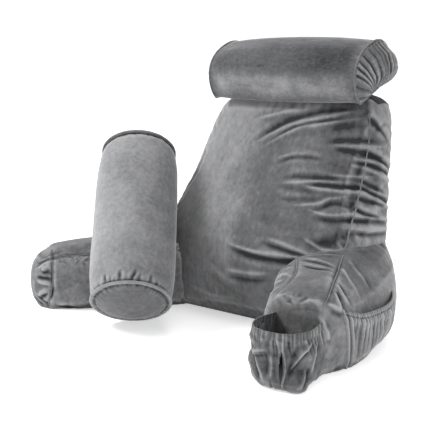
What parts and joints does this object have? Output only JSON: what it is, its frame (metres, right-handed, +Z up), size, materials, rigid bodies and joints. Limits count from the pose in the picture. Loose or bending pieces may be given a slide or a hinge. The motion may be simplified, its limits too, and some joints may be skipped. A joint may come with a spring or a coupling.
{
  "type": "reading pillow with arms and leaning bolster",
  "caption": "Grey plush reading pillow: wedge-shaped back with splayed arms, pleated half-moon neck roll on top, gathered end and side pockets, and a piped bolster leaning on the left arm.",
  "frame": {"origin": "on the floor, under the middle of the back cushion's flat base", "axes": "+Z up; +X to the right of someone who looks at the pillow's front, along its width; -Y the way the pillow faces, towards the sitter's legs"},
  "size_m": [0.8346, 0.551, 0.6042],
  "materials": {
    "plush": "matte",
    "strap": "matte"
  },
  "bodies": {
    "root": {"back_cushion": "plush", "arm_left": "plush", "arm_right": "plush", "neck_roll": "plush", "neck_roll_piping_left": "plush", "neck_roll_piping_right": "plush", "strap_left": "strap", "strap_right": "strap", "end_pocket": "plush", "side_pocket": "plush", "bolster": "plush", "bolster_piping_lower": "plush", "bolster_piping_upper": "plush"}
  },
  "joints": []
}
